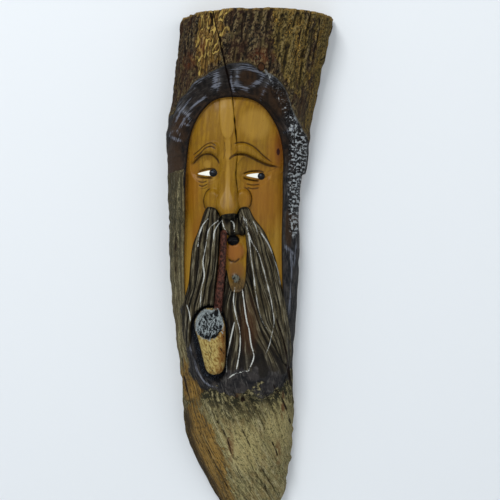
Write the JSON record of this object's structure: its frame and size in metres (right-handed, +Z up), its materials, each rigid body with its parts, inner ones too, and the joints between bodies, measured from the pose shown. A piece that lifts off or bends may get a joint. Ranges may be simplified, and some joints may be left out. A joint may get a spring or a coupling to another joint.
{
  "type": "tree face sculpture",
  "caption": "Wall carving in a split log: a bearded face with a pipe under a carved hood, bark above, a flat sawn back and a broken, tapering lower end.",
  "frame": {"origin": "on the flat sawn back, 95 mm under the sawn top, where the carving hangs", "axes": "+Z up along the log to its sawn top; +Y out of the flat back, into the wall; the carved front faces -Y"},
  "size_m": [0.1499, 0.0629, 0.45],
  "materials": {
    "carved_wood": "weathered wood, stained dark round a varnished ochre face"
  },
  "bodies": {
    "root": {"carved_log": "carved_wood"}
  },
  "joints": []
}
